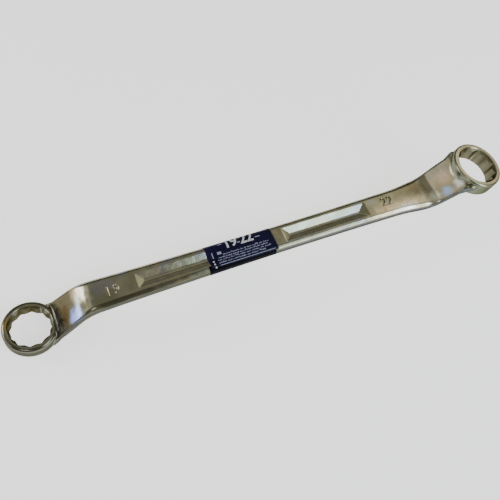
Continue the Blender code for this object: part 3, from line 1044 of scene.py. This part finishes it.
def add_painted_light_spots(graph, tone):
    """The tone with the spots of painted highlight, reflection and shade over it."""
    for centre, reach, strength, colour in PAINTED_LIGHT_SPOTS:
        centre, reach = (tuple(value * MM for value in size) for size in (centre, reach))
        tone = graph.mix(graph.product(graph.spot(centre, reach), strength), tone, colour)
    return tone


def add_shade_bands(graph, tone, normal, place):
    """The tone with the bands of painted shade over it."""
    edge = graph.fade(place["Y"], NEAR_EDGE)
    for colour, turns, reaches in SHADE_BANDS:
        masks = [graph.fade(normal["Y"], span) for span in turns]
        masks += [graph.fade(place["X"], span, (0, strength)) for span, strength in reaches]
        tone = graph.mix(graph.product(*masks, edge), tone, colour)
    return tone


def side_shade_tone(graph, level, place, near_19, near_22):
    """Painted shade of the spanner's sides, from left to right and on the rings."""
    left = graph.mix(graph.fade(level, LEFT_SIDE_NORMAL), *LEFT_SIDE_SHADE_COLOURS)
    tone = graph.mix(graph.fade(place["X"], RIGHT_SIDE_START), left, RIGHT_SIDE_SHADE_COLOUR)
    tone = graph.mix(near_22, tone, RING_22_SIDE_SHADE_COLOUR)
    return graph.mix(near_19, tone, RING_19_SIDE_SHADE_COLOUR)


def stamp_shade(graph, place):
    """Mask of 1 in the grooves of the stamped 22."""
    span = [SHANK_THICKNESS / 2 - depth for depth in STAMP_SHADE_DEPTHS]
    near = graph.spot((*STAMP_22_CENTRE, SHANK_THICKNESS / 2), STAMP_SHADE_REACH)
    return graph.product(graph.fade(place["Z"], span), near)


def socket_radius(graph, end):
    """Distance from a socket's axis."""
    side = -1 if end is END_19 else 1
    centre = (side * SOCKET_SPACING / 2, 0, side * end.offset)
    place = graph.split(graph.place(centre, turn=(0, RING_TILT, 0), kind="TEXTURE"))
    squares = [graph.math("POWER", place[axis], 2.0) for axis in "XY"]
    return graph.math("SQRT", graph.math("ADD", *squares))


def socket_grime_and_shade(graph, radius, end):
    """Mask of 1 on the walls of a socket, for grime with painted shade, weaker in patches."""
    wall = graph.fade(radius, [corner_reach(end) + growth for growth in GRIME_AND_SHADE_EDGE])
    patches = graph.fade(graph.noise(GRIME_AND_SHADE_SIZE, EVEN_NOISE), GRIME_AND_SHADE_SPAN, GRIME_AND_SHADE_STRENGTHS)
    return graph.product(wall, patches)


def steel_roughness(graph, flank, grimes_and_shades):
    plate = graph.noise(PLATE_ROUGHNESS_SIZE, FINEST_NOISE)
    rough = graph.fade(plate, NOISE_SPAN, PLATE_ROUGHNESS)
    rough = graph.math("ADD", rough, graph.product(flank, FLANK_ROUGHNESS))
    return graph.math("ADD", rough, graph.product(graph.math("ADD", *grimes_and_shades), GRIME_ROUGHNESS))


def steel_material():
    """Dull plate over ground steel: bright worn edges, painted shade on the flanks, rims, edges and
    hollows, painted highlights, sheen and reflections in spots, and grime with painted shade in the
    sockets.
    """
    material, shader = new_material("plated_steel", PLATE_MEAN_COLOUR, PLATE_MEAN_ROUGHNESS, 1.0)
    shader.inputs["Specular Tint"].default_value = (*PLATE_EDGE_TINT, 1)
    graph = Graph(material)
    tone = plate_tone(graph)
    normal = graph.split(graph.coordinates.outputs["Normal"])
    place = graph.split(graph.coordinates.outputs["Object"])
    # Painted shade on the neck of the 19 end
    neck_19_shade = [graph.fade(place["X"], span) for span in (NECK_19_TOP, NECK_19_ROOT)]
    tone = graph.mix(graph.product(*neck_19_shade), tone, NECK_19_SHADE_COLOUR)
    # Spots of painted highlight, reflection and shade
    tone = add_painted_light_spots(graph, tone)
    radius_19, radius_22 = (socket_radius(graph, end) for end in (END_19, END_22))
    near_19 = graph.fade(radius_19, NEAR_RING_19)
    near_22 = graph.fade(radius_22, NEAR_RING_22)
    # Painted shade round the rim of the 19 ring
    rim_19_shade = graph.product(graph.fade(radius_19, RIM_19), near_19, RIM_19_SHADE_STRENGTH)
    tone = graph.mix(rim_19_shade, tone, RIM_19_SHADE_COLOUR)
    # Painted highlight on the far walls of the recesses
    far_wall_highlight = graph.product(graph.fade(graph.math("ABSOLUTE", place["Y"]), ACROSS_RECESS),
                             graph.fade(normal["Y"], FAR_WALL_NORMAL),
                             graph.fade(graph.math("ABSOLUTE", place["X"]), ALONG_RECESSES))
    tone = graph.mix(far_wall_highlight, tone, FAR_WALL_HIGHLIGHT_COLOUR)
    # Painted warm sheen on the nut face of the 22 ring
    nut_face_22_sheen = graph.product(near_22, graph.fade(normal["Z"], NUT_FACE_NORMAL))
    tone = graph.mix(nut_face_22_sheen, tone, NUT_FACE_22_SHEEN_COLOUR)
    # Bands of painted shade along the near edge
    tone = add_shade_bands(graph, tone, normal, place)
    # Painted shade on the sides
    level = graph.math("ABSOLUTE", normal["Z"])
    flank = graph.fade(level, FLANK_NORMAL)
    tone = graph.mix(flank, tone, side_shade_tone(graph, level, place, near_19, near_22))
    # Grime with painted shade on the socket walls
    grimes_and_shades = [socket_grime_and_shade(graph, radius_19, END_19), socket_grime_and_shade(graph, radius_22, END_22)]
    for grime_and_shade, colour in zip(grimes_and_shades, (GRIME_AND_SHADE_19_COLOUR, GRIME_AND_SHADE_22_COLOUR)):
        tone = graph.mix(grime_and_shade, tone, colour)
    tone = graph.mix(stamp_shade(graph, place), tone, STAMP_SHADE_COLOUR)
    point = graph.nodes.new("ShaderNodeNewGeometry").outputs["Pointiness"]
    # Painted shade in hollows and creases
    hollow_shade = graph.product(graph.fade(point, HOLLOW_POINTINESS), HOLLOW_SHADE_STRENGTH)
    tone = graph.mix(hollow_shade, tone, HOLLOW_SHADE_COLOUR)
    worn = graph.product(graph.fade(point, WORN_POINTINESS), WORN_STRENGTH)
    tone = graph.mix(worn, tone, WORN_COLOUR)
    graph.links.new(tone, shader.inputs["Base Color"])
    graph.links.new(steel_roughness(graph, flank, grimes_and_shades), shader.inputs["Roughness"])
    waves = graph.bump(PLATE_WAVES, SMOOTH_NOISE)
    marks = graph.bump(GRINDING_MARKS, EVEN_NOISE, graph.place(stretch=GRINDING_STRETCH), waves)
    pits = graph.bump(PLATE_PITS, FINE_NOISE, under=marks)
    graph.links.new(pits, shader.inputs["Normal"])
    return material


def film_material(name, colour, roughness, gloss):
    material, shader = new_material(name, colour, roughness)
    graph = Graph(material)
    cloud = graph.fade(graph.noise(FILM_PATCH_SIZE, EVEN_NOISE), NOISE_SPAN)
    darker = tuple(value * FILM_DARKER_SHARE for value in colour)
    graph.links.new(graph.mix(cloud, colour, darker), shader.inputs["Base Color"])
    spread = [roughness + change for change in FILM_DULL_SPREAD]
    rough = graph.fade(graph.noise(FILM_DULL_SIZE, EVEN_NOISE), NOISE_SPAN, spread)
    graph.links.new(rough, shader.inputs["Roughness"])
    shader.inputs["Specular IOR Level"].default_value = gloss
    creases = graph.bump(FILM_CREASES, EVEN_NOISE, graph.place(stretch=FILM_CREASE_STRETCH))
    graph.links.new(creases, shader.inputs["Normal"])
    return material


def ink_material(name, colour):
    material, shader = new_material(name, colour, INK_ROUGHNESS)
    graph = Graph(material)
    patchy = graph.fade(graph.noise(INK_PATCH_SIZE, FINE_NOISE), INK_PATCH_SPAN)
    thin = tuple(value * INK_THIN_SHARE for value in colour)
    graph.links.new(graph.mix(patchy, thin, colour), shader.inputs["Base Color"])
    return material


def clouded_material(name, roughness, size, colours):
    """Material whose colour drifts between two, for the floor and the card."""
    material, shader = new_material(name, colours[0], roughness)
    graph = Graph(material)
    cloud = graph.noise(size, SMOOTH_NOISE)
    graph.links.new(graph.mix(cloud, *colours), shader.inputs["Base Color"])
    return material, shader


def build_floor():
    bm = bmesh.new()
    bmesh.ops.create_grid(bm, x_segments=1, y_segments=1, size=FLOOR_HALF_WIDTH)
    floor = add_mesh_object("floor", bm)
    floor.location.z = cad_low.z
    material, shader = clouded_material("pale_floor", FLOOR_ROUGHNESS, FLOOR_PATCH_SIZE,
                                        FLOOR_COLOURS)
    shader.inputs["Emission Color"].default_value = (1.0, 1.0, 1.0, 1)
    shader.inputs["Emission Strength"].default_value = FLOOR_GLOW
    floor.data.materials.append(material)


def reflected_direction(right, back):
    """Direction whose angle from straight up has these parts in degrees along X and Y."""
    angle = math.radians(math.hypot(right, back))
    side = math.atan2(back, right)
    lean = math.sin(angle)
    return Vector((lean * math.cos(side), lean * math.sin(side), math.cos(angle)))


def add_panel(name, right, back, size, radiance, colour):
    """Soft box facing the spanner."""
    light = bpy.data.lights.new(name, "AREA")
    light.shape = "RECTANGLE"
    light.size, light.size_y = size
    light.energy = radiance * math.pi * size[0] * size[1]
    light.color = colour
    obj = add_object(name, light)
    toward = reflected_direction(right, back)
    obj.location = toward * PANEL_DISTANCE
    obj.rotation_euler = toward.to_track_quat("Z", "Y").to_euler()
    obj.visible_camera = False


def build_flag():
    """Dark card behind the spanner, which its far edges reflect."""
    bm = bmesh.new()
    bmesh.ops.create_grid(bm, x_segments=1, y_segments=1, size=0.5)
    bmesh.ops.scale(bm, verts=bm.verts, vec=(FLAG_WIDTH, FLAG_HEIGHT, 1))
    flag = add_mesh_object("dark_card", bm)
    flag.rotation_euler.x = math.radians(90)
    flag.location = (0, FLAG_DISTANCE, cad_low.z + FLAG_HEIGHT / 2)
    flag.visible_camera = False
    material, _ = clouded_material("dark_card", FLAG_ROUGHNESS, FLAG_PATCH_SIZE, FLAG_COLOURS)
    flag.data.materials.append(material)


def build_lights():
    world = bpy.data.worlds.new("studio")
    bpy.context.scene.world = world
    world.use_nodes = True
    background = world.node_tree.nodes["Background"]
    background.inputs["Color"].default_value = (*SKY_COLOUR, 1)
    for panel in PANELS:
        add_panel(*panel)


def build_camera():
    camera = bpy.data.cameras.new("camera")
    camera.lens = CAMERA_LENS
    camera.sensor_width = CAMERA_SENSOR
    camera.clip_start = CAMERA_CLIP
    obj = add_object("camera", camera)
    back = CAMERA_RIGHT.cross(CAMERA_UP)
    turn = Matrix((CAMERA_RIGHT, CAMERA_UP, back)).transposed().to_4x4()
    obj.matrix_world = Matrix.Translation(CAMERA_PLACE) @ turn
    bpy.context.scene.camera = obj


build_forging(steel_material())
build_label(film_material("navy_film", *NAVY_FILM), film_material("black_film", *BLACK_FILM))
build_print(ink_material("white_ink", WHITE_INK), ink_material("pale_ink", PALE_INK))
build_floor()
build_flag()
build_lights()
build_camera()
